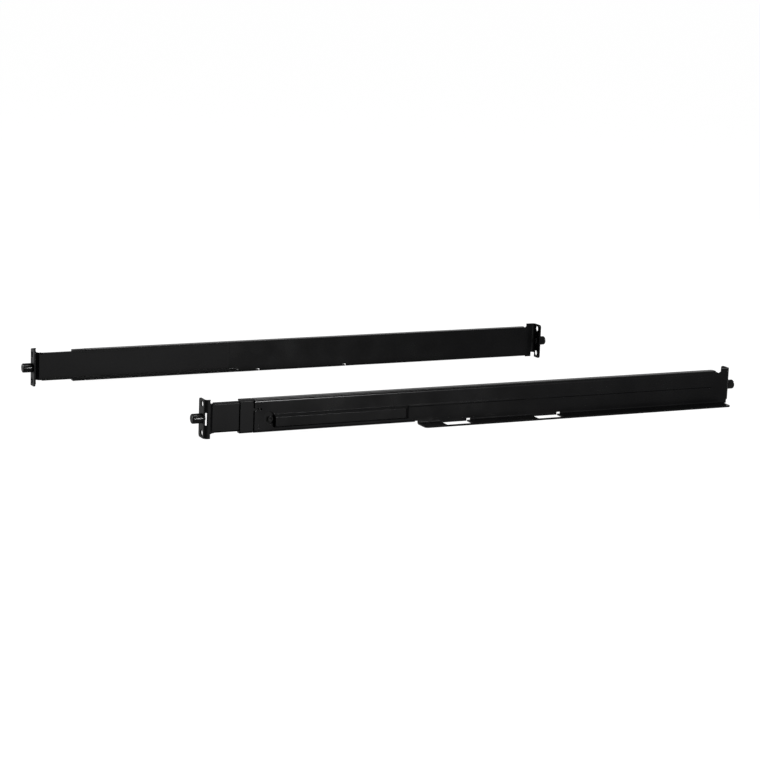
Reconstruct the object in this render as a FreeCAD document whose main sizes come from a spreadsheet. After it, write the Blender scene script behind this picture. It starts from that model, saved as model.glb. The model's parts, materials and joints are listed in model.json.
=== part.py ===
# Sliding server rail pair for a 19 inch rack, lying as a pair on one floor.
#
# Each rail is a folded steel channel with an ear and a flange at its front end and a
# shelf for the server.  A bracket with its own ear and flange slides in the channel's
# rear mouth through a guide sleeve, so that the rail fits racks of different depth.
# A peg on each flange drops into the rack post between the two screw holes.
#
# Millimetres.  X runs along the rails to their front ends, Z is up, and the floor is
# z = 0.  Inside one rail, x is measured from the front flange face (so the rail lies at
# negative x), v is measured from the web's server face outward to the rack's side
# panel, and z is the world's.  The right rail's v is +Y, the left rail's is -Y.

import math
import os
import re

import FreeCAD
import Part
import Sketcher

SIZES = [
    # the pair on the floor
    ("pair_spacing", 326.0),         # between the two webs' server faces
    ("front_lead", 86.0),            # right front flange ahead of the left one
    ("right_reach", 668.0),          # flange face to flange face, right rail
    ("left_reach", 676.0),           # the same for the left rail
    # ears, flanges and their holes, alike on channel and bracket
    ("ear_height", 43.0),
    ("flange_width", 17.5),
    ("flange_bend", 2.5),            # inner radius of the bend into the flange
    ("corner_radius", 3.0),
    ("hole_spacing", 31.75),         # two of the three holes of one rack unit
    ("hole_radius", 3.55),
    # channel
    ("channel_sheet", 1.8),
    ("channel_length", 610.0),
    ("channel_low", 3.0),
    ("channel_top", 40.3),
    ("lip_reach", 10.0),
    ("lip_bend", 1.2),               # inner radius of the long bends
    ("fold_height", 30.0),           # where the upper and lower folds of the web meet
    ("lip_setback", 19.0),           # top lip ends this far behind the flange face
    ("lip_corner", 3.0),
    ("ear_length", 12.4),
    ("ear_notch_radius", 3.2),
    ("ear_notch_rise", 0.8),         # notch centre above the channel's top
    ("ear_relief_length", 5.0),      # cut under the front bend
    ("ear_relief_height", 5.5),
    # shelf
    ("shelf_low", 0.5),
    ("shelf_reach", 20.0),
    ("shelf_start", 412.0),
    ("shelf_end", 9.0),
    ("shelf_corner", 4.0),
    ("shelf_relief_length", 3.5),
    ("shelf_relief_height", 4.6),
    ("window_start", 384.0),
    ("window_pitch", 116.5),
    ("window_length", 33.0),
    ("window_rim", 2.2),
    ("bite_length", 5.0),
    ("bite_height", 3.9),
    # raised track for the stop stud, and the rib that continues it
    ("track_setback", 23.0),         # behind it the web is whole up to the rear edge
    ("track_end", 424.0),
    ("track_low", 8.0),
    ("track_high", 23.0),
    ("track_rise", 5.0),
    ("track_slope", 2.5),
    ("track_ramp", 6.0),
    ("rib_low", 20.9),
    ("rib_width", 2.8),
    ("rib_rise", 0.8),
    ("rib_front", 26.0),
    # access opening and edge slot near the channel's rear edge
    ("opening_setback", 16.7),
    ("opening_radius", 6.15),
    ("opening_low", 11.5),
    ("opening_high", 26.5),
    ("edge_slot_length", 8.4),
    ("edge_slot_width", 2.8),
    ("edge_slot_height", 29.2),
    # guide sleeve
    ("sleeve_sheet", 1.8),
    ("sleeve_length", 15.0),
    ("sleeve_gap", 1.0),             # between sleeve lips and channel lips
    ("sleeve_tab", 24.0),            # the stop stud meets its front edge
    ("tab_margin", 4.0),             # tab edge inside the channel's lips
    # bracket
    ("bracket_sheet", 1.8),
    ("web_play", 0.2),               # bracket web beside the sleeve web
    ("lip_play", 0.3),               # bracket lips inside the channel lips
    ("bracket_lip_reach", 9.0),
    ("tongue_length", 250.0),
    ("step_setback", 6.8),           # ear ends this far from the rear flange face
    ("joggle_length", 3.8),
    ("tongue_setback", 12.4),        # lips start this far from the rear flange face
    ("bend_window_low", 14.7),
    ("bend_window_high", 28.7),
    ("bend_window_depth", 3.2),
    # rack pegs and their screws
    ("peg_radius", 4.65),
    ("peg_length", 13.0),
    ("peg_chamfer", 0.9),
    ("peg_collar_radius", 6.1),
    ("peg_collar", 1.2),
    ("peg_socket_radius", 2.3),
    ("peg_socket_depth", 4.0),
    ("peg_screw_radius", 2.0),
    ("peg_screw_length", 7.0),
    ("peg_screw_head_radius", 3.7),
    ("peg_screw_head", 1.8),
    ("peg_screw_edge", 0.8),
    ("peg_screw_end_gap", 0.4),
    # fasteners in the channel's rear end
    ("fit_play", 0.05),              # radial play of every pin in its hole
    ("rivet_radius", 1.5),
    ("rivet_setback", 5.0),
    ("rivet_low", 10.0),
    ("rivet_high", 33.8),
    ("pin_radius", 1.2),
    ("pin_setback", 5.3),
    ("pin_tip_radius", 0.7),
    ("pin_proud", 0.7),
    ("clamp_setback", 18.6),
    ("clamp_radius", 2.0),
    ("clamp_height", 17.6),
    ("clamp_head_radius", 3.4),
    ("clamp_head", 1.8),
    ("clamp_head_edge", 0.5),
    ("clamp_socket_radius", 1.6),
    ("clamp_socket_depth", 1.1),
    ("clamp_washer_radius", 4.2),
    ("clamp_washer", 0.6),
    # stop stud on the tongue
    ("stud_radius", 3.4),
    ("stud_tenon_radius", 2.0),
    ("stud_inset", 39.0),            # from the tongue's front end
    ("stud_edge", 0.5),
    ("stud_proud", 2.0),             # beyond the web's server face, inside the track
]

# Places that several pieces share, as expressions of the sizes above.
TONGUE_WEB = "(channel_sheet + sleeve_sheet + web_play)"
TONGUE_LOW = "(channel_low + channel_sheet + lip_play)"
TONGUE_TOP = "(channel_top - channel_sheet - lip_play)"
TRACK_START = "(channel_length - track_setback)"
TRACK_MIDDLE = "((track_low + track_high) / 2)"
HOLE_OFFSET = "(flange_width / 2)"
PEG_HEIGHT = "(ear_height / 2)"
NOTCH_HEIGHT = "(channel_top + ear_notch_rise)"
MARGIN = 2.0                         # how far a cutting block runs past the sheet
OVERLAP = 0.5                        # how far joined blocks of one sheet run together
NEAR = 0.02                          # an edge this close to a spot is the edge meant

doc = FreeCAD.newDocument("server_rail_pair")
sheet = doc.addObject("Spreadsheet::Sheet", "Sizes")
for row, (alias, size) in enumerate(SIZES, start=1):
    sheet.set(f"A{row}", alias)
    sheet.set(f"B{row}", str(size))
    sheet.setAlias(f"B{row}", alias)
doc.recompute()

ALIASES = re.compile(r"\b(" + "|".join(alias for alias, _ in SIZES) + r")\b")


def bound(text):
    """Expression text with each size name pointed at its cell."""
    return ALIASES.sub(r"Sizes.\1", str(text))


def number(text):
    """What an expression comes to now."""
    return float(sheet.evalExpression(bound(text)))


class Rail:
    """Where one rail lies, and which way its outward side faces."""

    def __init__(self, name, outward, origin_x, origin_y, reach):
        self.name = name
        self.outward = outward
        self.origin_x = origin_x
        self.origin_y = origin_y
        self.reach = reach

    def across(self, v):
        """Body y of an outward distance."""
        return f"{self.outward} * ({v})"

    def body(self, piece, shift=("0", "0", "0")):
        """An empty body that stands in this rail's frame, moved by x, v, z."""
        body = doc.addObject("PartDesign::Body", f"{self.name}_{piece}")
        body.Label = f"{self.name}_{piece}"
        x, v, z = shift
        body.setExpression("Placement.Base.x", bound(f"{self.origin_x} + {x}"))
        body.setExpression("Placement.Base.y", bound(f"{self.origin_y} + {self.across(v)}"))
        body.setExpression("Placement.Base.z", bound(z))
        return body


# The pair's middle is the origin: half of the way from the left rear peg's tip to the
# right front peg's tip, and half of the way between the webs.
RIGHT_X = "((left_reach + front_lead) / 2)"
RAILS = [
    Rail("right", 1, RIGHT_X, "-pair_spacing / 2", "right_reach"),
    Rail("left", -1, f"({RIGHT_X} - front_lead)", "pair_spacing / 2", "left_reach"),
]


def plane(body, role):
    """The body's own origin plane or axis of this role."""
    return next(item for item in body.Origin.OriginFeatures if item.Role == role)


def new_sketch(body, name, role, offset="0"):
    """A sketch on an origin plane, moved along the plane's normal."""
    sketch = body.newObject("Sketcher::SketchObject", name)
    sketch.AttachmentSupport = [(plane(body, role), "")]
    sketch.MapMode = "FlatFace"
    sketch.setExpression("AttachmentOffset.Base.z", bound(offset))
    return sketch


def pin_point(sketch, geometry, position, spot):
    """Tie a point of the sketch to two expressions."""
    for kind, text in zip(("DistanceX", "DistanceY"), spot):
        constraint = Sketcher.Constraint(kind, -1, 1, geometry, position, number(text))
        index = sketch.addConstraint(constraint)
        sketch.setExpression(f"Constraints[{index}]", bound(text))


def polygon(sketch, spots):
    """A closed outline through the spots, every corner tied to its expressions."""
    corners = [FreeCAD.Vector(number(a), number(b), 0) for a, b in spots]
    lines = []
    for start, end in zip(corners, corners[1:] + corners[:1]):
        lines.append(sketch.addGeometry(Part.LineSegment(start, end), False))
    for line, following in zip(lines, lines[1:] + lines[:1]):
        sketch.addConstraint(Sketcher.Constraint("Coincident", line, 2, following, 1))
    for line, spot in zip(lines, spots):
        pin_point(sketch, line, 1, spot)


def obround(sketch, centre, low, high, radius):
    """An upright slot with half-round ends, given by its lowest and highest points."""
    ends = [(centre, f"{high} - {radius}"), (centre, f"{low} + {radius}")]
    size = number(radius)
    arcs = []
    for (a, b), start in zip(ends, (0, math.pi)):
        circle = Part.Circle(FreeCAD.Vector(number(a), number(b), 0), FreeCAD.Vector(0, 0, 1), size)
        arcs.append(sketch.addGeometry(Part.ArcOfCircle(circle, start, start + math.pi), False))
    x, top, bottom = number(centre), number(ends[0][1]), number(ends[1][1])
    left = Part.LineSegment(FreeCAD.Vector(x - size, top, 0), FreeCAD.Vector(x - size, bottom, 0))
    right = Part.LineSegment(FreeCAD.Vector(x + size, bottom, 0), FreeCAD.Vector(x + size, top, 0))
    left_line = sketch.addGeometry(left, False)
    right_line = sketch.addGeometry(right, False)
    sketch.addConstraint(Sketcher.Constraint("Tangent", arcs[0], 2, left_line, 1))
    sketch.addConstraint(Sketcher.Constraint("Tangent", left_line, 2, arcs[1], 1))
    sketch.addConstraint(Sketcher.Constraint("Tangent", arcs[1], 2, right_line, 1))
    sketch.addConstraint(Sketcher.Constraint("Tangent", right_line, 2, arcs[0], 1))
    sketch.addConstraint(Sketcher.Constraint("Equal", arcs[0], arcs[1]))
    index = sketch.addConstraint(Sketcher.Constraint("Radius", arcs[0], size))
    sketch.setExpression(f"Constraints[{index}]", bound(radius))
    for arc, spot in zip(arcs, ends):
        pin_point(sketch, arc, 3, spot)


def finish(body, feature):
    """Make the feature the body's tip and work it out."""
    body.Tip = feature
    doc.recompute()
    return feature


def pad(body, name, sketch, length):
    """Add the sketch's outline, drawn out along its normal."""
    feature = body.newObject("PartDesign::Pad", name)
    feature.Profile = sketch
    feature.setExpression("Length", bound(length))
    return finish(body, feature)


def cut_through(body, name, sketch):
    """Cut the sketch's outline right through, both ways."""
    feature = body.newObject("PartDesign::Pocket", name)
    feature.Profile = sketch
    feature.Type = "ThroughAll"
    feature.Midplane = True
    return finish(body, feature)


def prism(rail, body, name, spots, start, length):
    """A bar of constant section along x; the section's spots are (v, z)."""
    sketch = new_sketch(body, f"{name}_section", "YZ_Plane", start)
    polygon(sketch, [(rail.across(v), z) for v, z in spots])
    return pad(body, name, sketch, length)


def block(rail, body, kind, name, x_range, v_range, z_range):
    """An upright box between pairs of expressions, added or cut."""
    feature = body.newObject(f"PartDesign::{kind}Box", name)
    feature.AttachmentSupport = [(plane(body, "XY_Plane"), "")]
    feature.MapMode = "FlatFace"
    near_v = v_range[0] if rail.outward > 0 else v_range[1]
    corner = (x_range[0], rail.across(near_v), z_range[0])
    for axis, text in zip("xyz", corner):
        feature.setExpression(f"AttachmentOffset.Base.{axis}", bound(text))
    for side, (low, high) in zip(("Length", "Width", "Height"), (x_range, v_range, z_range)):
        feature.setExpression(side, bound(f"({high}) - ({low})"))
    return finish(body, feature)


def circle_sketch(rail, body, name, spot, radius, axis):
    """A circle across X or Y, centred at (v or x, z)."""
    role = {"X": "YZ_Plane", "Y": "XZ_Plane"}[axis]
    along, height = spot
    place = rail.across(along) if axis == "X" else along
    sketch = new_sketch(body, f"{name}_circle", role)
    middle = FreeCAD.Vector(number(place), number(height), 0)
    circle = sketch.addGeometry(Part.Circle(middle, FreeCAD.Vector(0, 0, 1), number(radius)), False)
    pin_point(sketch, circle, 3, (place, height))
    index = sketch.addConstraint(Sketcher.Constraint("Radius", circle, number(radius)))
    sketch.setExpression(f"Constraints[{index}]", bound(radius))
    return sketch


def round_edges(rail, body, name, radius, axis, spots):
    """Round the straight edges along an axis that pass through the spots."""
    across = {"X": (1, 2), "Y": (0, 2), "Z": (0, 1)}[axis]
    direction = FreeCAD.Vector(*[float(letter == axis) for letter in "XYZ"])
    base = body.Tip
    found = []
    for spot in spots:
        wanted = []
        for index, text in zip(across, spot):
            wanted.append(number(rail.across(text) if index == 1 else text))
        for index, edge in enumerate(base.Shape.Edges, start=1):
            if edge.Curve.TypeId != "Part::GeomLine":
                continue
            if abs(abs(edge.tangentAt(edge.FirstParameter).dot(direction)) - 1) > 1e-6:
                continue
            middle = edge.CenterOfMass
            miss = max(abs(middle[place] - target) for place, target in zip(across, wanted))
            if miss < NEAR:
                found.append(f"Edge{index}")
    feature = body.newObject("PartDesign::Fillet", name)
    feature.Base = (base, found)
    feature.setExpression("Radius", bound(radius))
    return finish(body, feature)


def turned(rail, piece, shift, axis, heading, outline):
    """A turned piece: its half outline is (distance along the axis, radius)."""
    body = rail.body(piece, shift)
    role, axis_role = {"X": ("XZ_Plane", "X_Axis"), "Y": ("YZ_Plane", "Y_Axis")}[axis]
    sketch = new_sketch(body, f"{piece}_outline", role)
    polygon(sketch, [(f"{heading} * ({along})", radius) for along, radius in outline])
    feature = body.newObject("PartDesign::Revolution", f"{piece}_turn")
    feature.Profile = sketch
    feature.ReferenceAxis = (plane(body, axis_role), [""])
    feature.Angle = 360
    finish(body, feature)
    return body


def flange_holes(rail, body, skin):
    """The two screw holes and the peg screw's hole through a flange at x = 0."""
    heights = {
        "upper": (f"{PEG_HEIGHT} + hole_spacing / 2", "hole_radius"),
        "lower": (f"{PEG_HEIGHT} - hole_spacing / 2", "hole_radius"),
        "peg": (PEG_HEIGHT, "peg_screw_radius + fit_play"),
    }
    for name, (height, radius) in heights.items():
        sketch = circle_sketch(rail, body, f"{name}_hole", (HOLE_OFFSET, height), radius, "X")
        cut = body.newObject("PartDesign::Pocket", f"{name}_hole")
        cut.Profile = sketch
        cut.Midplane = True
        cut.setExpression("Length", bound(f"2 * ({skin} + {MARGIN})"))
        finish(body, cut)


def main_channel(rail):
    """The folded channel with its front ear, flange, shelf and raised track."""
    body = rail.body("main_channel")
    skin = "channel_sheet"
    bend_out = f"lip_bend + {skin}"

    upper = [
        ("0", "fold_height"), ("0", "channel_top"), ("lip_reach", "channel_top"),
        ("lip_reach", f"channel_top - {skin}"), (skin, f"channel_top - {skin}"), (skin, "fold_height"),
    ]
    prism(rail, body, "upper_fold", upper, "-channel_length", "channel_length - lip_setback")
    round_edges(rail, body, "upper_outer_bend", bend_out, "X", [("0", "channel_top")])
    round_edges(rail, body, "upper_inner_bend", "lip_bend", "X", [(skin, f"channel_top - {skin}")])
    round_edges(rail, body, "upper_lip_corner", "lip_corner", "Z", [("-lip_setback", "lip_reach")])

    lower = [
        (skin, "fold_height"), ("0", "fold_height"), ("0", "channel_low"), ("lip_reach", "channel_low"),
        ("lip_reach", f"channel_low + {skin}"), (skin, f"channel_low + {skin}"),
    ]
    lip_end = "(shelf_start + shelf_relief_length)"
    prism(rail, body, "rear_fold", lower, "-channel_length", f"channel_length - {lip_end}")
    round_edges(rail, body, "rear_outer_bend", bend_out, "X", [("0", "channel_low")])
    round_edges(rail, body, "rear_inner_bend", "lip_bend", "X", [(skin, f"channel_low + {skin}")])

    shelf = [
        ("0", "fold_height"), (skin, "fold_height"), (skin, "shelf_low"), ("-shelf_reach", "shelf_low"),
        ("-shelf_reach", f"shelf_low + {skin}"), ("0", f"shelf_low + {skin}"),
    ]
    prism(rail, body, "shelf_fold", shelf, "-shelf_start", "shelf_start - shelf_end")
    round_edges(rail, body, "shelf_outer_bend", bend_out, "X", [(skin, "shelf_low")])
    round_edges(rail, body, "shelf_inner_bend", "lip_bend", "X", [("0", f"shelf_low + {skin}")])
    corners = [("-shelf_start", "-shelf_reach"), ("-shelf_end", "-shelf_reach")]
    round_edges(rail, body, "shelf_corners", "shelf_corner", "Z", corners)

    # the web is whole above the relief between rear lip and shelf, and up to the ear
    block(rail, body, "Additive", "relief_web",
          (f"-{lip_end} - {OVERLAP}", f"-shelf_start + {OVERLAP}"), ("0", skin),
          ("shelf_relief_height", "fold_height"))
    block(rail, body, "Additive", "front_web",
          ("-lip_setback - lip_corner", f"-ear_length + {OVERLAP}"), ("0", skin),
          (f"fold_height - {OVERLAP}", "channel_top - lip_bend"))

    bent = [
        ("-ear_length", "0"), ("0", "0"), ("0", "flange_width"),
        (f"-{skin}", "flange_width"), (f"-{skin}", skin), ("-ear_length", skin),
    ]
    sketch = new_sketch(body, "ear_plan", "XY_Plane")
    polygon(sketch, [(x, rail.across(v)) for x, v in bent])
    pad(body, "ear", sketch, "ear_height")
    round_edges(rail, body, "ear_outer_bend", f"flange_bend + {skin}", "Z", [("0", "0")])
    round_edges(rail, body, "ear_inner_bend", "flange_bend", "Z", [(f"-{skin}", skin)])
    flange_corners(rail, body, f"-{skin} / 2")
    block(rail, body, "Subtractive", "bend_relief", ("-ear_relief_length", f"{MARGIN}"),
          (f"-{MARGIN}", "ear_relief_length"), (f"-{MARGIN}", "ear_relief_height"))
    notch_spot = ("-(ear_length + ear_notch_radius)", NOTCH_HEIGHT)
    notch = circle_sketch(rail, body, "ear_notch", notch_spot, "ear_notch_radius", "Y")
    cut_through(body, "ear_notch", notch)
    flange_holes(rail, body, skin)

    raised_track(rail, body)
    windows(rail, body)

    sketch = new_sketch(body, "access_opening_outline", "XZ_Plane")
    obround(sketch, "-channel_length + opening_setback", "opening_low", "opening_high", "opening_radius")
    cut_through(body, "access_opening", sketch)
    block(rail, body, "Subtractive", "edge_slot",
          (f"-channel_length - {MARGIN}", "-channel_length + edge_slot_length"),
          (f"-{MARGIN}", f"{skin} + {MARGIN}"),
          ("edge_slot_height - edge_slot_width / 2", "edge_slot_height + edge_slot_width / 2"))
    for level in ("rivet_low", "rivet_high"):
        spot = ("-channel_length + rivet_setback", level)
        hole = circle_sketch(rail, body, f"{level}_hole", spot, "rivet_radius + fit_play", "Y")
        cut_through(body, f"{level}_hole", hole)
    return body


def flange_corners(rail, body, middle_x):
    """Round the two outer corners of a flange."""
    base = body.Tip
    found = []
    for index, edge in enumerate(base.Shape.Edges, start=1):
        middle = edge.CenterOfMass
        at_edge = abs(middle.y - number(rail.across("flange_width"))) < NEAR
        at_flange = abs(middle.x - number(middle_x)) < NEAR
        at_end = min(abs(middle.z), abs(middle.z - number("ear_height"))) < NEAR
        if at_edge and at_flange and at_end:
            found.append(f"Edge{index}")
    feature = body.newObject("PartDesign::Fillet", "flange_corners")
    feature.Base = (base, found)
    feature.setExpression("Radius", bound("corner_radius"))
    finish(body, feature)


def raised_track(rail, body):
    """The pressed-out track, open at its rear, and the rib that runs on from it."""
    skin = "channel_sheet"
    outer = [
        ("0", "track_low"), ("-track_rise", "track_low + track_slope"),
        ("-track_rise", "track_high - track_slope"), ("0", "track_high"),
        (f"{skin} / 2", "track_high"), (f"{skin} / 2", "track_low"),
    ]
    prism(rail, body, "track", outer, f"-{TRACK_START}", f"{TRACK_START} - track_end")
    sketch = new_sketch(body, "track_ramp_plan", "XY_Plane")
    ramp = [
        ("-track_end - track_ramp", "-track_rise"), ("-track_end", "0"),
        (f"-track_end + {MARGIN}", "0"), (f"-track_end + {MARGIN}", f"-track_rise - {MARGIN}"),
        ("-track_end - track_ramp", f"-track_rise - {MARGIN}"),
    ]
    polygon(sketch, [(x, rail.across(v)) for x, v in ramp])
    cut = body.newObject("PartDesign::Pocket", "track_ramp")
    cut.Profile = sketch
    cut.Reversed = True
    cut.setExpression("Length", bound("track_high"))
    sketch.setExpression("AttachmentOffset.Base.z", bound("track_low"))
    finish(body, cut)

    # the hollow's flanks run parallel to the outer ones, one sheet further in
    lean = "(track_slope / track_rise)"
    inset = f"({skin} * sqrt(1 + pow({lean}; 2)))"
    deep = f"(-track_rise + {skin})"
    open_side = f"({skin} + {OVERLAP})"
    hollow = [(v, f"track_low + {inset} - {lean} * {v}") for v in (open_side, deep)]
    hollow += [(v, f"track_high - {inset} + {lean} * {v}") for v in (deep, open_side)]
    sketch = new_sketch(body, "track_hollow_section", "YZ_Plane", f"-{TRACK_START} - {OVERLAP}")
    polygon(sketch, [(rail.across(v), z) for v, z in hollow])
    cut = body.newObject("PartDesign::Pocket", "track_hollow")
    cut.Profile = sketch
    cut.Reversed = True
    hollow_end = f"(track_end + track_ramp + {skin} / 2)"
    cut.setExpression("Length", bound(f"{TRACK_START} + {OVERLAP} - {hollow_end}"))
    finish(body, cut)

    rib = [
        (f"{OVERLAP}", "rib_low"), ("0", "rib_low"), ("-rib_rise", "rib_low + rib_rise"),
        ("-rib_rise", "rib_low + rib_width - rib_rise"), ("0", "rib_low + rib_width"),
        (f"{OVERLAP}", "rib_low + rib_width"),
    ]
    prism(rail, body, "web_rib", rib, f"-track_end - {OVERLAP}", f"track_end + {OVERLAP} - rib_front")


def windows(rail, body):
    """Two windows in the shelf, each with a small bend relief at one end."""
    for count in (0, 1):
        rear = f"(-window_start + {count} * window_pitch)"
        front = f"({rear} + window_length)"
        block(rail, body, "Subtractive", f"window_{count + 1}", (rear, front),
              ("-shelf_reach + window_rim", "0"),
              (f"shelf_low - {MARGIN}", "shelf_low + channel_sheet + lip_bend"))
        if rail.outward > 0:
            bite = (front, f"{front} + bite_length")
        else:
            bite = (f"{rear} - bite_length", rear)
        block(rail, body, "Subtractive", f"window_bite_{count + 1}", bite,
              ("-lip_bend", f"channel_sheet + {MARGIN}"), (f"shelf_low - {MARGIN}", "bite_height"))


def guide_sleeve(rail):
    """The short channel that lines the rear mouth, and its tab behind the web."""
    body = rail.body("guide_sleeve")
    skin = "sleeve_sheet"
    inner = "channel_sheet"
    start = "-(channel_length + sleeve_gap + sleeve_length)"
    section = [
        (inner, "channel_low"), ("lip_reach", "channel_low"), ("lip_reach", f"channel_low + {skin}"),
        (f"{inner} + {skin}", f"channel_low + {skin}"), (f"{inner} + {skin}", f"channel_top - {skin}"),
        ("lip_reach", f"channel_top - {skin}"), ("lip_reach", "channel_top"), (inner, "channel_top"),
    ]
    prism(rail, body, "sleeve", section, start, "sleeve_length")
    round_edges(rail, body, "sleeve_bends", f"lip_bend + {skin} / 2", "X",
                [(inner, "channel_low"), (inner, "channel_top")])
    block(rail, body, "Additive", "sleeve_tab", (f"{start} + {OVERLAP}", "-channel_length + sleeve_tab"),
          (inner, f"{inner} + {skin}"), ("channel_low + tab_margin", "channel_top - tab_margin"))
    holes = {
        "rivet_low_hole": ("rivet_setback", "rivet_low", "rivet_radius"),
        "rivet_high_hole": ("rivet_setback", "rivet_high", "rivet_radius"),
        "pin_hole": ("pin_setback", "edge_slot_height", "pin_radius"),
        "clamp_hole": ("clamp_setback", "clamp_height", "clamp_radius"),
    }
    for name, (setback, height, radius) in holes.items():
        spot = (f"-channel_length + {setback}", height)
        hole = circle_sketch(rail, body, name, spot, f"{radius} + fit_play", "Y")
        cut_through(body, name, hole)
    return body


def rear_bracket(rail):
    """The sliding bracket: flange, ear, joggle and tongue from one sheet."""
    body = rail.body("rear_bracket", (f"-{rail.reach}", "0", "0"))
    skin = "bracket_sheet"
    web = TONGUE_WEB
    joggle_end = "(step_setback + joggle_length)"
    # where the joggle's two faces turn, one sheet apart
    mitre = f"({skin} * (sqrt(pow(joggle_length; 2) + pow({web}; 2)) - joggle_length) / {web})"

    section = [
        (web, TONGUE_LOW), ("bracket_lip_reach", TONGUE_LOW),
        ("bracket_lip_reach", f"{TONGUE_LOW} + {skin}"),
        (f"{web} + {skin}", f"{TONGUE_LOW} + {skin}"), (f"{web} + {skin}", f"{TONGUE_TOP} - {skin}"),
        ("bracket_lip_reach", f"{TONGUE_TOP} - {skin}"), ("bracket_lip_reach", TONGUE_TOP),
        (web, TONGUE_TOP),
    ]
    prism(rail, body, "tongue", section, "tongue_setback", "tongue_length - tongue_setback")
    round_edges(rail, body, "tongue_bends", f"lip_bend + {skin} / 2", "X",
                [(web, TONGUE_LOW), (web, TONGUE_TOP)])

    plan = [
        ("0", "flange_width"), ("0", "0"), ("step_setback", "0"), (joggle_end, web),
        ("tongue_setback", web), ("tongue_setback", f"{web} + {skin}"),
        (f"{joggle_end} - {mitre}", f"{web} + {skin}"), (f"step_setback - {mitre}", skin),
        (skin, skin), (skin, "flange_width"),
    ]
    sketch = new_sketch(body, "bracket_plan", "XY_Plane")
    polygon(sketch, [(x, rail.across(v)) for x, v in plan])
    pad(body, "ear_and_joggle", sketch, "ear_height")
    round_edges(rail, body, "ear_outer_bend", f"flange_bend + {skin}", "Z", [("0", "0")])
    round_edges(rail, body, "ear_inner_bend", "flange_bend", "Z", [(skin, skin)])
    flange_corners(rail, body, f"{skin} / 2")
    joggle = ("step_setback", "tongue_setback")
    sideways = (f"-{MARGIN}", f"{web} + {skin} + {MARGIN}")
    block(rail, body, "Subtractive", "low_step", joggle, sideways, (f"-{MARGIN}", TONGUE_LOW))
    block(rail, body, "Subtractive", "high_step", joggle, sideways, (TONGUE_TOP, f"ear_height + {MARGIN}"))

    notch_spot = ("(step_setback + tongue_setback) / 2", NOTCH_HEIGHT)
    notch = circle_sketch(rail, body, "ear_notch", notch_spot, "ear_notch_radius", "Y")
    cut_through(body, "ear_notch", notch)
    block(rail, body, "Subtractive", "bend_window", (f"-{MARGIN}", "bend_window_depth"),
          (f"-{MARGIN}", "bend_window_depth"), ("bend_window_low", "bend_window_high"))
    flange_holes(rail, body, skin)
    spot = ("tongue_length - stud_inset", TRACK_MIDDLE)
    hole = circle_sketch(rail, body, "stud_hole", spot, "stud_tenon_radius + fit_play", "Y")
    cut_through(body, "stud_hole", hole)
    return body


def rack_peg(rail, piece, face_x, heading):
    """A turned peg that stands out of a flange."""
    outline = [
        ("0", "peg_screw_radius + fit_play"), ("0", "peg_collar_radius"),
        ("peg_collar / 2", "peg_collar_radius"),
        ("peg_collar", "peg_radius"), ("peg_length - peg_chamfer", "peg_radius"),
        ("peg_length", "peg_radius - peg_chamfer"), ("peg_length", "peg_socket_radius"),
        ("peg_length - peg_socket_depth", "peg_socket_radius"), ("peg_length - peg_socket_depth", "0"),
        ("peg_screw_length", "0"), ("peg_screw_length", "peg_screw_radius + fit_play"),
    ]
    return turned(rail, piece, (face_x, HOLE_OFFSET, PEG_HEIGHT), "X", heading, outline)


def peg_screw(rail, piece, face_x, heading, skin):
    """The low-headed screw that holds a peg from the flange's other side."""
    outline = [
        (f"-{skin} - peg_screw_head", "0"),
        (f"-{skin} - peg_screw_head", "peg_screw_head_radius - peg_screw_edge"),
        (f"-{skin} - peg_screw_head / 2", "peg_screw_head_radius"), (f"-{skin}", "peg_screw_head_radius"),
        (f"-{skin}", "peg_screw_radius"), ("peg_screw_length - peg_screw_end_gap", "peg_screw_radius"),
        ("peg_screw_length - peg_screw_end_gap", "0"),
    ]
    return turned(rail, piece, (face_x, HOLE_OFFSET, PEG_HEIGHT), "X", heading, outline)


def sleeve_rivets(rail):
    """Two flush rivets through channel web and sleeve tab, as one group."""
    group = doc.addObject("Part::Compound", f"{rail.name}_sleeve_rivets")
    group.Label = f"{rail.name}_sleeve_rivets"
    pieces = []
    for level in ("rivet_low", "rivet_high"):
        rivet = doc.addObject("Part::Cylinder", f"{rail.name}_{level}")
        rivet.setExpression("Radius", bound("rivet_radius"))
        rivet.setExpression("Height", bound("channel_sheet + sleeve_sheet"))
        rivet.Placement.Rotation = FreeCAD.Rotation(FreeCAD.Vector(1, 0, 0), -90 * rail.outward)
        rivet.setExpression("Placement.Base.x", bound(f"{rail.origin_x} - channel_length + rivet_setback"))
        rivet.setExpression("Placement.Base.y", bound(rail.origin_y))
        rivet.setExpression("Placement.Base.z", bound(level))
        pieces.append(rivet)
    group.Links = pieces
    return group


def locating_pin(rail):
    """The pin on the sleeve tab that stands in the channel's edge slot."""
    outline = [
        ("-pin_proud", "0"), ("-pin_proud", "pin_tip_radius"), ("-pin_proud / 2", "pin_radius"),
        ("channel_sheet + sleeve_sheet", "pin_radius"), ("channel_sheet + sleeve_sheet", "0"),
    ]
    spot = ("-channel_length + pin_setback", "0", "edge_slot_height")
    return turned(rail, "locating_pin", spot, "Y", rail.outward, outline)


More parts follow.
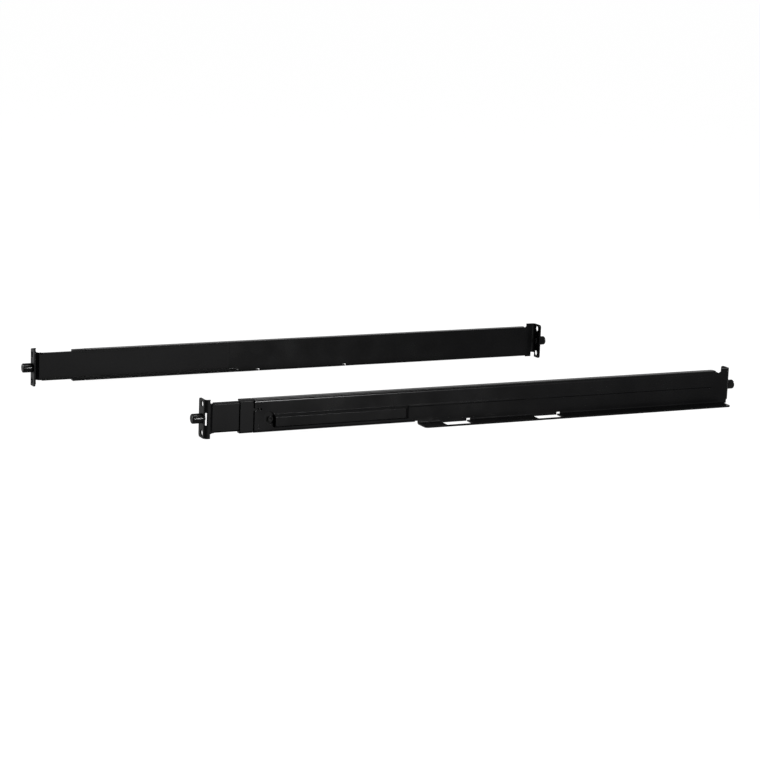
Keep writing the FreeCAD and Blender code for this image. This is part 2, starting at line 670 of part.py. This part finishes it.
def clamp_screw(rail):
    """The screw in the access opening that presses on the tongue."""
    seat = "(channel_sheet - clamp_washer)"
    crown = f"({seat} - clamp_head)"
    outline = [
        (crown, "0"), (crown, "clamp_head_radius - clamp_head_edge"),
        (f"{crown} + clamp_head_edge", "clamp_head_radius"),
        (seat, "clamp_head_radius"), (seat, "clamp_radius"),
        ("channel_sheet + sleeve_sheet", "clamp_radius"), ("channel_sheet + sleeve_sheet", "0"),
    ]
    spot = ("-channel_length + clamp_setback", "0", "clamp_height")
    body = turned(rail, "clamp_screw", spot, "Y", rail.outward, outline)
    socket = body.newObject("PartDesign::SubtractivePrism", "hex_socket")
    socket.AttachmentSupport = [(plane(body, "XZ_Plane"), "")]
    socket.MapMode = "FlatFace"
    socket.Polygon = 6
    socket.setExpression("Circumradius", bound("clamp_socket_radius"))
    socket.setExpression("Height", bound("clamp_socket_depth * 2"))
    # the plane's normal is -Y, so the prism is centred on the head's crown
    socket.setExpression("AttachmentOffset.Base.z", bound(f"{-rail.outward} * {crown} - clamp_socket_depth"))
    finish(body, socket)
    return body


def clamp_washer(rail):
    """The washer between the clamp screw's head and the sleeve tab."""
    seat = "(channel_sheet - clamp_washer)"
    outline = [
        (seat, "clamp_radius + fit_play"), (seat, "clamp_washer_radius"),
        ("channel_sheet", "clamp_washer_radius"), ("channel_sheet", "clamp_radius + fit_play"),
    ]
    spot = ("-channel_length + clamp_setback", "0", "clamp_height")
    return turned(rail, "clamp_washer", spot, "Y", rail.outward, outline)


def stop_stud(rail):
    """The stud on the tongue that runs in the raised track."""
    outline = [
        ("-stud_proud", "0"), ("-stud_proud", "stud_radius - stud_edge"),
        ("-stud_proud + stud_edge", "stud_radius"),
        (TONGUE_WEB, "stud_radius"), (TONGUE_WEB, "stud_tenon_radius"),
        (f"{TONGUE_WEB} + bracket_sheet", "stud_tenon_radius"), (f"{TONGUE_WEB} + bracket_sheet", "0"),
    ]
    spot = (f"-{rail.reach} + tongue_length - stud_inset", "0", TRACK_MIDDLE)
    return turned(rail, "stop_stud", spot, "Y", rail.outward, outline)


def build_rail(rail):
    """Every piece of one rail."""
    rear_x = f"-{rail.reach}"
    return [
        main_channel(rail),
        guide_sleeve(rail),
        rear_bracket(rail),
        rack_peg(rail, "front_peg", "0", 1),
        peg_screw(rail, "front_peg_screw", "0", 1, "channel_sheet"),
        rack_peg(rail, "rear_peg", rear_x, -1),
        peg_screw(rail, "rear_peg_screw", rear_x, -1, "bracket_sheet"),
        sleeve_rivets(rail),
        locating_pin(rail),
        clamp_screw(rail),
        clamp_washer(rail),
        stop_stud(rail),
    ]


def write_parts(pieces):
    """Check every object, then write one STEP file per piece."""
    doc.recompute()
    for item in doc.Objects:
        if {"Invalid", "Error"} & set(item.State):
            raise RuntimeError(f"{item.Label} did not build: {item.State}")
    os.makedirs("parts", exist_ok=True)
    for piece in pieces:
        if piece.Shape.isNull() or not piece.Shape.isValid():
            raise RuntimeError(f"{piece.Label} has no valid shape")
        piece.Shape.exportStep(f"parts/{piece.Label}.step")


write_parts([piece for rail in RAILS for piece in build_rail(rail)])
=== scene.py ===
# Looks of the sliding server rail pair: finishes, turned fasteners, camera and studio.
#
# Metres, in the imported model's own frame: +X runs to the rails' front ends, +Y from the
# right rail to the left one, +Z up.  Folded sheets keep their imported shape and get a
# finish.  Pegs, peg screws and clamp screws are turned here from rounded outlines.

import json
import math

import bpy
import numpy as np
from mathutils import Matrix, Vector


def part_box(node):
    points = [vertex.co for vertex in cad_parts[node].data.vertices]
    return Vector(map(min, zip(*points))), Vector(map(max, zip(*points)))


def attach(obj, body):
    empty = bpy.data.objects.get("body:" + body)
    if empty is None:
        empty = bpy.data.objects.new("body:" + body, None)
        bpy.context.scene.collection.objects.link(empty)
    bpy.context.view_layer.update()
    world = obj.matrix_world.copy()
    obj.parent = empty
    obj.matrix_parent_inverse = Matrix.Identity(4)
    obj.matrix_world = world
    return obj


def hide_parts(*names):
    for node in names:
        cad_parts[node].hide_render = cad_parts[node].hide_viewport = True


MM = 0.001

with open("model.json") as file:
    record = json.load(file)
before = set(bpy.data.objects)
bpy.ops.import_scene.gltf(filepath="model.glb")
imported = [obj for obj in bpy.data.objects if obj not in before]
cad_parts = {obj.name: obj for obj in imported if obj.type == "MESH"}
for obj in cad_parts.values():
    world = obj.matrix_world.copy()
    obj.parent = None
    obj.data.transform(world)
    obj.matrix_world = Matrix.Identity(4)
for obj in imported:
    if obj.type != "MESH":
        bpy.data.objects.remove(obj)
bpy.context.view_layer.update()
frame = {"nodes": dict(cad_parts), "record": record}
nodes = frame["nodes"]


def place_in_scene(name, data):
    """An object that shows some data, linked into the scene."""
    thing = bpy.data.objects.new(name, data)
    bpy.context.scene.collection.objects.link(thing)
    return thing


# ---------------------------------------------------------------- finishes

# Noise scales are in cells per metre.
DRIFT_SPAN = (0.3, 0.7)                 # noise values between which a finish drifts
EDGE_SAMPLES = 6
COAT_TINT = np.array((1, 1, 1.08))      # a trace of blue in the black
COAT_PATCHES = 9.0                      # where the coat's grey drifts
COAT_DRIFT = 0.25                       # by this share either way
GLOSS_PATCHES = 35.0                    # where the coat's gloss drifts
GLOSS_DRIFT = 0.03
COAT_EDGE = 0.35 * MM                   # radius of a coated edge
PEEL_SCALE, PEEL_DEPTH, PEEL_STRENGTH = 900.0, 0.05 * MM, 0.22
GRAIN_SCALE, GRAIN_DEPTH, GRAIN_STRENGTH = 4200.0, 0.02 * MM, 0.18

OXIDE_DARK, OXIDE_PALE = (0.0006, 0.0006, 0.0007), (0.0014, 0.0014, 0.0013)
OXIDE_PATCHES = 260.0                   # where the oxide's grey drifts
OIL_PATCHES = 500.0                     # where its oil leaves it glossier or duller
OIL_GLOSS, OIL_DULL = 0.04, 0.06        # by this much roughness
OXIDE_SHEEN = 0.025                     # specular level
TURNED_EDGE = 0.12 * MM                 # radius of a turned edge
MARK_PITCH = 0.12 * MM                  # from one tool mark to the next
MARK_DEPTH, MARK_STRENGTH = 0.004 * MM, 0.2
MARK_STRETCH = 0.02                     # noise scale across the marks' axis, as a share


def new_material(name, **sockets):
    """A Principled material with plain socket values, its node tree and its shader."""
    material = bpy.data.materials.new(name)
    material.use_nodes = True
    tree = material.node_tree
    shader = next(node for node in tree.nodes if node.type == "BSDF_PRINCIPLED")
    for socket, value in sockets.items():
        shader.inputs[socket.replace("_", " ")].default_value = value
    return material, tree, shader


def object_noise(tree, scale, detail, roughness=0.5, stretch=(1, 1, 1)):
    """Noise on Object coordinates, drawn out by a factor along each axis."""
    where = tree.nodes.new("ShaderNodeTexCoord")
    mapping = tree.nodes.new("ShaderNodeMapping")
    mapping.inputs["Scale"].default_value = stretch
    noise = tree.nodes.new("ShaderNodeTexNoise")
    noise.inputs["Scale"].default_value = scale
    noise.inputs["Detail"].default_value = detail
    noise.inputs["Roughness"].default_value = roughness
    tree.links.new(where.outputs["Object"], mapping.inputs["Vector"])
    tree.links.new(mapping.outputs["Vector"], noise.inputs["Vector"])
    return noise.outputs["Fac"]


def cloudy(tree, scale, detail, low, high):
    """A colour or grey that drifts from low to high in patches of a noise scale."""
    ramp = tree.nodes.new("ShaderNodeValToRGB")
    for stop, position, shade in zip(ramp.color_ramp.elements, DRIFT_SPAN, (low, high)):
        stop.position = position
        stop.color = (*np.broadcast_to(shade, 3), 1)
    tree.links.new(object_noise(tree, scale, detail), ramp.inputs["Fac"])
    return ramp.outputs["Color"]


def relief(tree, height, depth, strength, under):
    """Bumps of a height, laid over another surface."""
    node = tree.nodes.new("ShaderNodeBump")
    node.inputs["Distance"].default_value = depth
    node.inputs["Strength"].default_value = strength
    tree.links.new(height, node.inputs["Height"])
    tree.links.new(under, node.inputs["Normal"])
    return node.outputs["Normal"]


def soft_edges(tree, radius):
    """Edges that shade as if rounded by a radius."""
    node = tree.nodes.new("ShaderNodeBevel")
    node.samples = EDGE_SAMPLES
    node.inputs["Radius"].default_value = radius
    return node.outputs["Normal"]


def powder_coat(name, base, sheen, dull):
    """Black powder coat: a fine orange peel under a slightly uneven gloss.

    Base is the middle of its grey, sheen the specular level and dull the middle roughness.
    """
    material, tree, shader = new_material(name, Metallic=0.0, IOR=1.5, Specular_IOR_Level=sheen)
    grey = base * COAT_TINT
    tree.links.new(
        cloudy(tree, COAT_PATCHES, 3.0, grey * (1 - COAT_DRIFT), grey * (1 + COAT_DRIFT)),
        shader.inputs["Base Color"])
    tree.links.new(
        cloudy(tree, GLOSS_PATCHES, 3.0, dull - GLOSS_DRIFT, dull + GLOSS_DRIFT),
        shader.inputs["Roughness"])
    edges = soft_edges(tree, COAT_EDGE)
    peel = relief(tree, object_noise(tree, PEEL_SCALE, 2.0), PEEL_DEPTH, PEEL_STRENGTH, edges)
    grain = relief(tree, object_noise(tree, GRAIN_SCALE, 1.0), GRAIN_DEPTH, GRAIN_STRENGTH, peel)
    tree.links.new(grain, shader.inputs["Normal"])
    return material


def tool_marks(tree, axis):
    """Fine grooves round an axis, over edges that shade as rounded."""
    stretch = [MARK_STRETCH] * 3
    stretch["XYZ".index(axis)] = 1.0
    marks = object_noise(tree, 1 / MARK_PITCH, 2.0, 0.6, stretch)
    return relief(tree, marks, MARK_DEPTH, MARK_STRENGTH, soft_edges(tree, TURNED_EDGE))


def black_oxide(name, axis, dull):
    """Blackened turned steel: dark and oily, in cloudy patches, with tool marks round its axis."""
    material, tree, shader = new_material(
        name, Metallic=0.0, IOR=1.5, Specular_IOR_Level=OXIDE_SHEEN)
    tree.links.new(
        cloudy(tree, OXIDE_PATCHES, 3.0, OXIDE_DARK, OXIDE_PALE), shader.inputs["Base Color"])
    tree.links.new(
        cloudy(tree, OIL_PATCHES, 2.0, dull - OIL_GLOSS, dull + OIL_DULL),
        shader.inputs["Roughness"])
    tree.links.new(tool_marks(tree, axis), shader.inputs["Normal"])
    return material


COAT = powder_coat("black_powder_coat", base=0.0005, sheen=0.034, dull=0.25)
DULL_COAT = powder_coat("dull_powder_coat", base=0.0005, sheen=0.018, dull=0.38)
PEG_STEEL = black_oxide("black_oxide_peg", "X", dull=0.20)
SCREW_STEEL = black_oxide("black_oxide_screw", "X", dull=0.26)
STUD_STEEL = black_oxide("black_oxide_stud", "Y", dull=0.26)

SLOT_FINISH = {
    "powder_coat": COAT,
    "black_steel": PEG_STEEL,
    "black_screw": SCREW_STEEL,
    "zinc_steel": STUD_STEEL,           # darker than the record's zinc
}

# the pieces that slide, or that slide in them, are coated duller than their slot's finish
PIECE_FINISH = {
    "guide_sleeve": DULL_COAT,
    "rear_bracket": DULL_COAT,
    "stop_stud": DULL_COAT,
}


def coat_frame():
    """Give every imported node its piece's own finish, or else its slot's."""
    for part in frame["record"]["subparts"]:
        piece = part["node"].split("_", 1)[1]
        finish = PIECE_FINISH.get(piece, SLOT_FINISH[part["material_slot"]])
        for slot in nodes[part["node"]].material_slots:
            slot.link = "OBJECT"
            slot.material = finish


coat_frame()


# ---------------------------------------------------------------- turned fasteners

# Millimetres.
AROUND = 96                             # points round a turned piece
EASE_STEPS = 6                          # points along an eased corner
SCREW_EASE, PEG_EASE = 0.12, 0.25       # how far from a corner its easing starts
SHARP_EDGE = math.radians(40)

PEG_RADIUS = 5.5
PEG_NOSE = ((1.0, 0.0), (0.3, 0.4), (0.0, 1.0))     # back from the tip, in from the side
BORE_RADIUS, BORE_DEPTH = 2.05, 7.0     # the hole for the peg's screw
HEAD_HEIGHT = 1.8
HEAD_FACE_RADIUS = 2.9                  # the flat of a screw's head
SOCKET_DEPTH = 1.1
SHANK_RADIUS = 2.0


def peg_outline(length):
    """A peg, from the bottom of its bore round to the middle of its nose.

    Each spot is a distance along the axis, a radius, and 1 in a hexagon socket.
    """
    bore = [(BORE_DEPTH, 0, 0), (BORE_DEPTH, BORE_RADIUS, 0), (0, BORE_RADIUS, 0)]
    nose = [(length - back, PEG_RADIUS - inset, 0) for back, inset in PEG_NOSE]
    return bore + [(0, PEG_RADIUS, 0)] + nose + [(length, 0, 0)]


def screw_outline(head_radius, head_edge, socket_radius, length):
    """A socket screw, from the bottom of its socket round to the end of its shank."""
    return [
        (SOCKET_DEPTH, 0, 1), (SOCKET_DEPTH, socket_radius, 1), (0, socket_radius, 1),
        (0, HEAD_FACE_RADIUS, 0), (head_edge, head_radius, 0), (HEAD_HEIGHT, head_radius, 0),
        (HEAD_HEIGHT, SHANK_RADIUS, 0), (length, SHANK_RADIUS, 0), (length, 0, 0),
    ]


FRONT_PEG = peg_outline(length=9.8)
REAR_PEG = peg_outline(length=11.8)
PEG_SCREW = screw_outline(head_radius=3.7, head_edge=0.9, socket_radius=1.25, length=10.2)
CLAMP_SCREW = screw_outline(head_radius=3.4, head_edge=0.5, socket_radius=1.4, length=4.2)


def rounded(outline, reach):
    """The outline with each inner corner eased by a quadratic curve.

    The curve (1-u)^2 a + 2u(1-u) c + u^2 b runs from the spot a, a short reach before the
    corner c, to the spot b, the same reach after it.
    """
    spots = np.array([(along, radius) for along, radius, _ in outline])
    before, corner, after = spots[:-2], spots[1:-1], spots[2:]
    back, on = before - corner, after - corner
    start = corner + reach * back / np.linalg.norm(back, axis=1, keepdims=True)
    end = corner + reach * on / np.linalg.norm(on, axis=1, keepdims=True)
    u = np.linspace(0, 1, EASE_STEPS)[None, :, None]
    a, c, b = start[:, None], corner[:, None], end[:, None]
    curve = (1 - u) ** 2 * a + 2 * u * (1 - u) * c + u ** 2 * b
    return np.concatenate([spots[:1], curve.reshape(-1, 2), spots[-1:]])


def middle(node, axis, end):
    """The middle of a node's face at one end of an axis."""
    low, high = (np.array(corner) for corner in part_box(node))
    spot = (low + high) / 2
    place = "XYZ".index(axis)
    spot[place] = (low if end < 0 else high)[place]
    return spot


def body_of(node):
    """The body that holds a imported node."""
    bodies = frame["record"]["behaviour"]["bodies"]
    return next(name for name, members in bodies.items() if node in members)


def turned(node, material, axis, heading, outline, reach):
    """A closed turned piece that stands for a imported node.

    Point(s, a) = foot + s * heading * axis + r * (cos a * across + sin a * up), where the
    foot is the middle of the face that the axis comes from, and (s, r) runs along the eased
    outline from pole to pole.  In a hexagon socket, marked by the outline's third value, r
    is a flat's distance divided by the cosine of the angle from that flat's middle.
    """
    path = rounded(outline, reach)
    hexed = np.repeat([mark for _, _, mark in outline[1:-1]], EASE_STEPS)[:, None]
    turn = np.linspace(0, 2 * np.pi, AROUND, endpoint=False)[None, :]
    flat = 1 / np.cos((turn + np.pi / 6) % (np.pi / 3) - np.pi / 6)
    radius = path[1:-1, 1:] * (1 + hexed * (flat - 1))
    along = path[1:-1, :1] + 0 * turn
    rim = np.stack([along, radius * np.cos(turn), radius * np.sin(turn)], axis=-1).reshape(-1, 3)
    poles = np.array([(path[0, 0], 0, 0), (path[-1, 0], 0, 0)])
    directions = {
        "X": ((heading, 0, 0), (0, 1, 0), (0, 0, 1)),
        "Y": ((0, heading, 0), (1, 0, 0), (0, 0, 1)),
    }
    local = np.concatenate([rim, poles]) * MM
    points = middle(node, axis, -heading) + local @ np.array(directions[axis], float)

    rings = len(path) - 2
    index = np.arange(rings * AROUND).reshape(rings, AROUND)
    beside = np.roll(index, -1, axis=1)
    quads = np.stack([index[:-1], beside[:-1], beside[1:], index[1:]], axis=-1).reshape(-1, 4)
    first = np.stack([beside[0], index[0], np.full(AROUND, rings * AROUND)], axis=-1)
    last = np.stack([index[-1], beside[-1], np.full(AROUND, rings * AROUND + 1)], axis=-1)
    triangles = np.concatenate([first, last])
    inward = (heading > 0) == (axis == "X")
    if inward:
        quads, triangles = quads[:, ::-1], triangles[:, ::-1]

    mesh = bpy.data.meshes.new(f"{node}_turned")
    mesh.from_pydata(points.tolist(), [], quads.tolist() + triangles.tolist())
    mesh.polygons.foreach_set("use_smooth", np.ones(len(mesh.polygons), bool))
    mesh.set_sharp_from_angle(angle=SHARP_EDGE)
    mesh.materials.append(material)
    piece = place_in_scene(f"{node}_turned", mesh)
    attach(piece, body_of(node))
    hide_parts(node)


def turn_fasteners():
    """Every peg, peg screw and clamp screw of both rails."""
    for side, inward in (("right", 1), ("left", -1)):
        for end, heading, outline in (("front", 1, FRONT_PEG), ("rear", -1, REAR_PEG)):
            turned(f"{side}_{end}_peg", PEG_STEEL, "X", heading,
                   outline, PEG_EASE)
            turned(f"{side}_{end}_peg_screw", SCREW_STEEL, "X", heading,
                   PEG_SCREW, SCREW_EASE)
        turned(f"{side}_clamp_screw", STUD_STEEL, "Y", inward,
               CLAMP_SCREW, SCREW_EASE)


turn_fasteners()


# ---------------------------------------------------------------- camera

SENSOR_WIDTH = 36.0                     # millimetres, as the lens
LENS = 113.8
AZIMUTH = math.radians(-25.62)          # of its view, anticlockwise from +Y
PITCH = math.radians(11.59)             # downwards
ROLL = math.radians(2.10)
AIM = Vector((0.0011, 0.0064, 0.0154))
DISTANCE = 2.850


def place_camera():
    """A camera that looks at the aim point from a distance, turned by its roll."""
    level = Vector((-math.sin(AZIMUTH), math.cos(AZIMUTH), 0))
    right = Vector((math.cos(AZIMUTH), math.sin(AZIMUTH), 0))
    ahead = math.cos(PITCH) * level - Vector((0, 0, math.sin(PITCH)))
    up = right.cross(ahead)
    across = math.cos(ROLL) * right + math.sin(ROLL) * up
    upward = -math.sin(ROLL) * right + math.cos(ROLL) * up
    data = bpy.data.cameras.new("studio_camera")
    data.sensor_width = SENSOR_WIDTH
    data.lens = LENS
    camera = place_in_scene("studio_camera", data)
    turn = Matrix((across, upward, -ahead)).transposed()
    camera.matrix_world = Matrix.Translation(AIM - DISTANCE * ahead) @ turn.to_4x4()
    bpy.context.scene.camera = camera


place_camera()


# ---------------------------------------------------------------- studio

FLOOR_REACH = 30.0                      # from the middle to each edge
FLOOR_GREY = 0.9
FLOOR_GLOW = 0.95                       # share of plain white where the floor is seen


def white_world():
    """A plain white world."""
    world = bpy.data.worlds.new("studio")
    world.use_nodes = True
    tree = world.node_tree
    tree.nodes.clear()
    white = tree.nodes.new("ShaderNodeBackground")
    white.inputs["Color"].default_value = (1, 1, 1, 1)
    white.inputs["Strength"].default_value = 1.0
    output = tree.nodes.new("ShaderNodeOutputWorld")
    tree.links.new(white.outputs[0], output.inputs["Surface"])
    bpy.context.scene.world = world


def seen_directly(tree):
    """1 for rays from the camera, off gloss and through glass, 0 for diffuse light."""
    path = tree.nodes.new("ShaderNodeLightPath")
    total = path.outputs["Is Camera Ray"]
    for kind in ("Is Glossy Ray", "Is Transmission Ray"):
        join = tree.nodes.new("ShaderNodeMath")
        join.operation = "MAXIMUM"
        tree.links.new(total, join.inputs[0])
        tree.links.new(path.outputs[kind], join.inputs[1])
        total = join.outputs[0]
    return total


def white_floor():
    """A pale matt floor that glows plain white where it is seen, and keeps faint shadows."""
    material = bpy.data.materials.new("white_floor")
    material.use_nodes = True
    tree = material.node_tree
    tree.nodes.clear()
    matt = tree.nodes.new("ShaderNodeBsdfDiffuse")
    matt.inputs["Color"].default_value = (FLOOR_GREY, FLOOR_GREY, FLOOR_GREY, 1)
    glow = tree.nodes.new("ShaderNodeEmission")
    share = tree.nodes.new("ShaderNodeMath")
    share.operation = "MULTIPLY"
    share.inputs[1].default_value = FLOOR_GLOW
    mix = tree.nodes.new("ShaderNodeMixShader")
    output = tree.nodes.new("ShaderNodeOutputMaterial")
    tree.links.new(seen_directly(tree), share.inputs[0])
    tree.links.new(share.outputs[0], mix.inputs["Fac"])
    tree.links.new(matt.outputs[0], mix.inputs[1])
    tree.links.new(glow.outputs[0], mix.inputs[2])
    tree.links.new(mix.outputs[0], output.inputs["Surface"])

    mesh = bpy.data.meshes.new("studio_floor")
    signs = np.array([(-1, -1, 0), (1, -1, 0), (1, 1, 0), (-1, 1, 0)])
    mesh.from_pydata((signs * FLOOR_REACH).tolist(), [], [(0, 1, 2, 3)])
    mesh.materials.append(material)
    place_in_scene("studio_floor", mesh)


def softbox(name, place, target, size, power):
    """A rectangular soft lamp that faces a target."""
    data = bpy.data.lights.new(name, "AREA")
    data.shape = "RECTANGLE"
    data.size, data.size_y = size
    data.energy = power
    lamp = place_in_scene(name, data)
    lamp.location = place
    lamp.rotation_euler = (Vector(target) - Vector(place)).to_track_quat("-Z", "Y").to_euler()


white_world()
white_floor()
softbox("key_softbox", (0.30, -0.35, 1.7), (0.0, 0.0, 0.0), (0.9, 0.5), 70)
softbox("low_softbox", (0.34, -1.66, 0.24), (-0.05, 0.0, 0.02), (0.25, 0.10), 110)
softbox("rear_softbox", (-1.5, 1.1, 0.14), (0.0, 0.0, 0.02), (0.8, 0.16), 80)
softbox("front_softbox", (1.75, 0.15, 0.14), (0.0, 0.0, 0.02), (0.6, 0.16), 50)

bpy.context.scene.view_settings.view_transform = "Standard"
